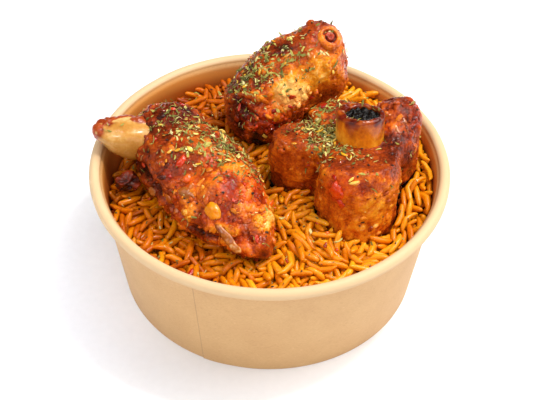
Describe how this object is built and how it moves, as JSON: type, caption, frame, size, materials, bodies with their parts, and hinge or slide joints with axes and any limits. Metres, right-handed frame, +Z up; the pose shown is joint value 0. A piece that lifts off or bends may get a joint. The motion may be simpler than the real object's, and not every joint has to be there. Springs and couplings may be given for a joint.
{
  "type": "bowl of jollof rice with meat",
  "caption": "Round kraft-board take-away bowl filled with orange-red jollof rice, topped with braised meat pieces on the bone and dried herbs.",
  "frame": {"origin": "on the bowl's axis, at the surface it stands on", "axes": "+Z up along the bowl's axis; the diner's side is towards -Y, so +X is to the diner's right"},
  "size_m": [0.1498, 0.1498, 0.0926],
  "materials": {
    "kraft_board": "matte brown kraft board with a thin clear coating",
    "rice": "oily cooked rice, orange to reddish brown",
    "meat": "glossy braised meat with dark crust, fat and red sauce",
    "bone": "smooth wet bone, cream to ochre, stained with sauce",
    "marrow": "charred granular marrow, black and glistening"
  },
  "bodies": {
    "root": {"bowl_wall": "kraft_board", "bowl_base": "kraft_board", "rice": "rice", "left_meat": "meat", "left_bone": "bone", "back_meat": "meat", "back_knuckle": "meat", "right_meat": "meat", "right_bone": "bone", "right_marrow": "marrow", "scrap": "meat"}
  },
  "joints": []
}
